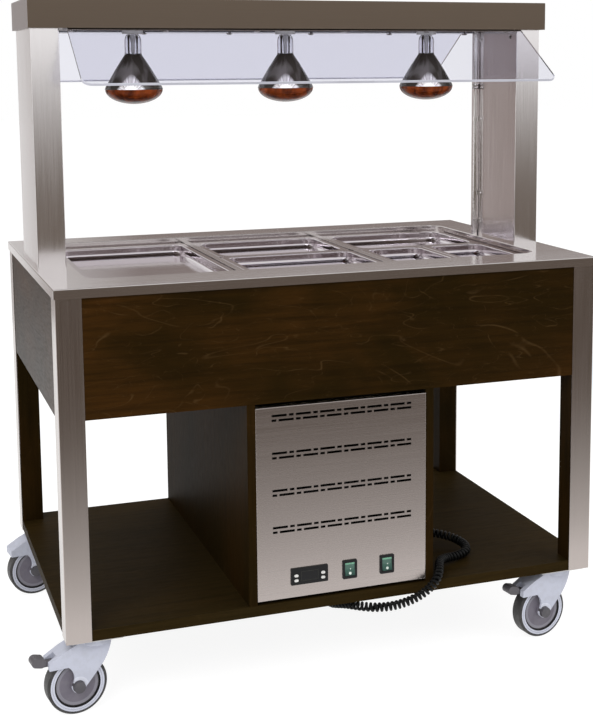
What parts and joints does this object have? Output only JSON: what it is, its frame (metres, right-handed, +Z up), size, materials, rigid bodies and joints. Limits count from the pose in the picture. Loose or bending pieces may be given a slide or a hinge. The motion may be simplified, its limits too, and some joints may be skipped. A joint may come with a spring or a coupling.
{
  "type": "buffet counter",
  "caption": "Mobile buffet counter with a cooled well of lift-out food pans, a heat-lamp canopy with glass guards, a shelf, switches, a curly lead and swivel casters.",
  "frame": {"origin": "on the floor under the middle of the worktop", "axes": "+X to the right seen from the front, +Y to the rear, +Z up"},
  "size_m": [1.2675, 0.8112, 1.455],
  "materials": {
    "worktop_steel": "brushed along the length",
    "leg_steel": "brushed upright",
    "canopy_steel": "brushed",
    "panel_steel": "brushed, cut vents",
    "pan_steel": "polished",
    "dark_veneer": "dark stained veneer, satin lacquer",
    "post_wood": "dark stained, satin lacquer",
    "foam": "rigid foam",
    "copper": "drawn tube",
    "guard_glass": "clear, polished edges",
    "lamp_glass": "mirrored reflector with an amber-red face",
    "socket_ceramic": "glazed ceramic",
    "screw_steel": "plated",
    "caster_steel": "zinc plated",
    "caster_grey": "moulded, light grey",
    "caster_tyre": "grey rim with a dark tyre",
    "pedal_grey": "moulded, dark grey",
    "black_plastic": "moulded, black",
    "dark_lens": "dark window",
    "key_white": "moulded, white",
    "rocker_green": "translucent green",
    "cord_black": "black, satin",
    "compressor_black": "black paint",
    "condenser_aluminium": "plain fins",
    "fan_metal": "pressed, grey",
    "fan_plastic": "moulded, black"
  },
  "bodies": {
    "counter": {"top_plate": "worktop_steel", "leg_angles": "leg_steel", "canopy_shell": "canopy_steel", "canopy_base": "canopy_steel", "column_left": "canopy_steel", "column_right": "canopy_steel", "front_service_panel": "panel_steel", "rear_service_panel": "panel_steel", "well_crossbars": "pan_steel", "well_tank": "pan_steel", "apron_front": "dark_veneer", "apron_rear": "dark_veneer", "apron_left": "dark_veneer", "apron_right": "dark_veneer", "base_shelf": "dark_veneer", "dividers": "dark_veneer", "corner_posts": "post_wood", "well_insulation": "foam", "evaporator_coil": "copper", "glass_front": "guard_glass", "glass_rear": "guard_glass", "lamp_bulbs": "lamp_glass", "lamp_sockets": "socket_ceramic", "glass_screws": "screw_steel", "conduit": "screw_steel", "conduit_clips": "screw_steel", "caster_plates": "caster_steel", "thermostat_case": "black_plastic", "rocker_frames": "black_plastic", "plug": "black_plastic", "cord_gland": "black_plastic", "plug_holder": "black_plastic", "thermostat_lens": "dark_lens", "curly_cord": "cord_black", "compressor": "compressor_black", "condenser": "condenser_aluminium", "fan_frame": "fan_metal"},
    "fork_front_left": {"fork_front_left": "caster_grey"},
    "fork_front_right": {"fork_front_right": "caster_grey"},
    "fork_rear_left": {"fork_rear_left": "caster_grey"},
    "fork_rear_right": {"fork_rear_right": "caster_grey"},
    "wheel_front_left": {"wheel_front_left": "caster_tyre"},
    "wheel_front_right": {"wheel_front_right": "caster_tyre"},
    "wheel_rear_left": {"wheel_rear_left": "caster_tyre"},
    "wheel_rear_right": {"wheel_rear_right": "caster_tyre"},
    "pedal_front_left": {"pedal_front_left": "pedal_grey"},
    "pedal_front_right": {"pedal_front_right": "pedal_grey"},
    "rocker_cooling": {"rocker_cooling": "rocker_green"},
    "rocker_lamps": {"rocker_lamps": "rocker_green"},
    "key_up_left": {"key_up_left": "key_white"},
    "key_up_right": {"key_up_right": "key_white"},
    "key_down_left": {"key_down_left": "key_white"},
    "key_down_right": {"key_down_right": "key_white"},
    "pan_left": {"pan_left": "pan_steel"},
    "pan_middle_front": {"pan_middle_front": "pan_steel"},
    "pan_middle_rear": {"pan_middle_rear": "pan_steel"},
    "pan_right_rear": {"pan_right_rear": "pan_steel"},
    "pan_right_front_inner": {"pan_right_front_inner": "pan_steel"},
    "pan_right_front_outer": {"pan_right_front_outer": "pan_steel"},
    "fan_rotor": {"fan_rotor": "fan_plastic"}
  },
  "joints": [
    {"name": "swivel_front_left", "type": "hinge", "parent": "counter", "child": "fork_front_left", "pos_m": [-0.533, -0.337, 0.158], "axis": [0, 0, 1], "continuous": true},
    {"name": "roll_front_left", "type": "hinge", "parent": "fork_front_left", "child": "wheel_front_left", "pos_m": [-0.57459, -0.34285, 0.0625], "axis": [0.1392, -0.9903, 0], "continuous": true},
    {"name": "brake_front_left", "type": "hinge", "parent": "fork_front_left", "child": "pedal_front_left", "pos_m": [-0.6241, -0.3498, 0.116], "axis": [0.1392, -0.9903, 0], "range_deg": [0, 12]},
    {"name": "swivel_front_right", "type": "hinge", "parent": "counter", "child": "fork_front_right", "pos_m": [0.533, -0.337, 0.158], "axis": [0, 0, 1], "continuous": true},
    {"name": "roll_front_right", "type": "hinge", "parent": "fork_front_right", "child": "wheel_front_right", "pos_m": [0.49141, -0.34285, 0.0625], "axis": [0.1392, -0.9903, 0], "continuous": true},
    {"name": "brake_front_right", "type": "hinge", "parent": "fork_front_right", "child": "pedal_front_right", "pos_m": [0.4419, -0.3498, 0.116], "axis": [0.1392, -0.9903, 0], "range_deg": [0, 12]},
    {"name": "swivel_rear_left", "type": "hinge", "parent": "counter", "child": "fork_rear_left", "pos_m": [-0.533, 0.337, 0.158], "axis": [0, 0, 1], "continuous": true},
    {"name": "roll_rear_left", "type": "hinge", "parent": "fork_rear_left", "child": "wheel_rear_left", "pos_m": [-0.57459, 0.33115, 0.0625], "axis": [0.1392, -0.9903, 0], "continuous": true},
    {"name": "swivel_rear_right", "type": "hinge", "parent": "counter", "child": "fork_rear_right", "pos_m": [0.533, 0.337, 0.158], "axis": [0, 0, 1], "continuous": true},
    {"name": "roll_rear_right", "type": "hinge", "parent": "fork_rear_right", "child": "wheel_rear_right", "pos_m": [0.49141, 0.33115, 0.0625], "axis": [0.1392, -0.9903, 0], "continuous": true},
    {"name": "rock_cooling", "type": "hinge", "parent": "counter", "child": "rocker_cooling", "pos_m": [0.01, -0.385, 0.239], "axis": [1, 0, 0], "range_deg": [0, 14]},
    {"name": "rock_lamps", "type": "hinge", "parent": "counter", "child": "rocker_lamps", "pos_m": [0.096, -0.385, 0.239], "axis": [1, 0, 0], "range_deg": [0, 14]},
    {"name": "press_up_left", "type": "slide", "parent": "counter", "child": "key_up_left", "axis": [0, 1, 0], "range_m": [0, 0.001], "stiffness_N_per_m": 300, "springref_m": -0.0003},
    {"name": "press_up_right", "type": "slide", "parent": "counter", "child": "key_up_right", "axis": [0, 1, 0], "range_m": [0, 0.001], "stiffness_N_per_m": 300, "springref_m": -0.0003},
    {"name": "press_down_left", "type": "slide", "parent": "counter", "child": "key_down_left", "axis": [0, 1, 0], "range_m": [0, 0.001], "stiffness_N_per_m": 300, "springref_m": -0.0003},
    {"name": "press_down_right", "type": "slide", "parent": "counter", "child": "key_down_right", "axis": [0, 1, 0], "range_m": [0, 0.001], "stiffness_N_per_m": 300, "springref_m": -0.0003},
    {"name": "lift_left", "type": "slide", "parent": "counter", "child": "pan_left", "axis": [0, 0, 1], "range_m": [0, 0.2]},
    {"name": "lift_middle_front", "type": "slide", "parent": "counter", "child": "pan_middle_front", "axis": [0, 0, 1], "range_m": [0, 0.2]},
    {"name": "lift_middle_rear", "type": "slide", "parent": "counter", "child": "pan_middle_rear", "axis": [0, 0, 1], "range_m": [0, 0.2]},
    {"name": "lift_right_rear", "type": "slide", "parent": "counter", "child": "pan_right_rear", "axis": [0, 0, 1], "range_m": [0, 0.2]},
    {"name": "lift_right_front_inner", "type": "slide", "parent": "counter", "child": "pan_right_front_inner", "axis": [0, 0, 1], "range_m": [0, 0.2]},
    {"name": "lift_right_front_outer", "type": "slide", "parent": "counter", "child": "pan_right_front_outer", "axis": [0, 0, 1], "range_m": [0, 0.2]},
    {"name": "fan_spin", "type": "hinge", "parent": "counter", "child": "fan_rotor", "pos_m": [-0.004, -0.24, 0.325], "axis": [0, 1, 0], "continuous": true}
  ]
}
